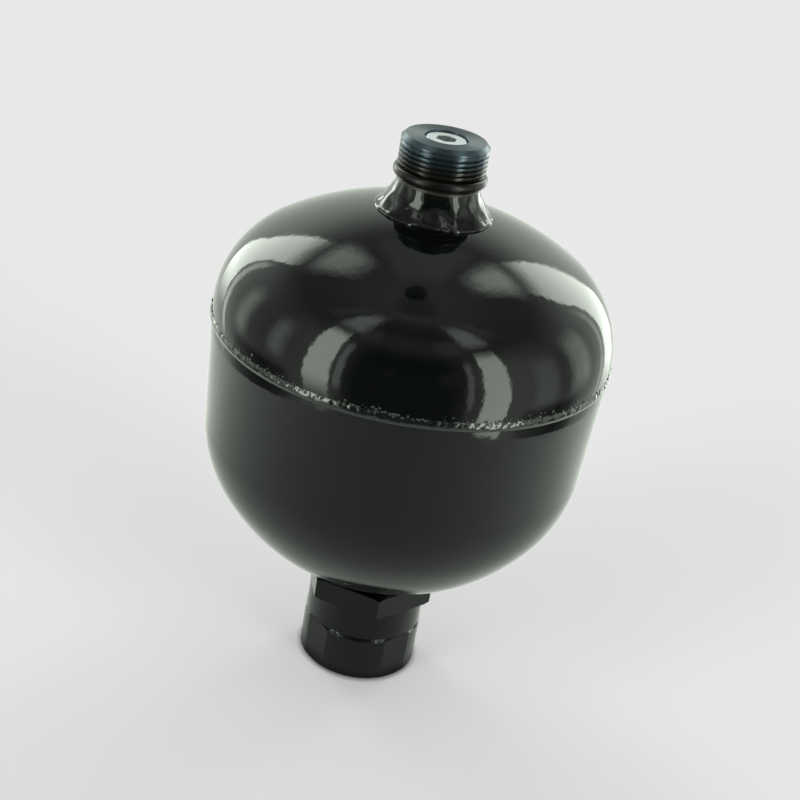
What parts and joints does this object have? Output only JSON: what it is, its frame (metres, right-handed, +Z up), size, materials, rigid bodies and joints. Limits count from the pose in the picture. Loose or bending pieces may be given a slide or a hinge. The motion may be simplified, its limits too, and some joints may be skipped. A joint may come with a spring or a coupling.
{
  "type": "bladder accumulator",
  "caption": "Welded two-shell hydraulic accumulator with a threaded gas neck and charging screw on top, a rubber separator inside, and a hexagonal fluid port with a threaded adapter below.",
  "frame": {"origin": "centre of the adapter's flat foot, on the vessel's axis", "axes": "+Z up the vessel's axis, from the fluid port to the gas neck; -Y is the side seen from the front"},
  "size_m": [0.1322, 0.1322, 0.1936],
  "materials": {
    "black_paint": "thick gloss black paint over welded steel",
    "blued_steel": "turned and blued, satin",
    "zinc_plated": "bright zinc plate",
    "blackened_steel": "turned and blackened, satin",
    "bare_steel": "turned",
    "rubber": "moulded nitrile rubber, satin"
  },
  "bodies": {
    "root": {"upper_shell": "black_paint", "lower_shell": "black_paint", "equator_weld": "black_paint", "backing_ring": "bare_steel", "clamp_ring": "bare_steel", "bladder": "rubber", "bladder_button": "bare_steel", "gas_neck": "blued_steel", "gas_neck_weld": "black_paint", "neck_o_ring": "rubber", "charging_screw": "zinc_plated", "charging_screw_seal": "rubber", "fluid_port": "blackened_steel", "fluid_port_weld": "black_paint", "port_adapter": "blackened_steel", "adapter_seal": "rubber"}
  },
  "joints": []
}
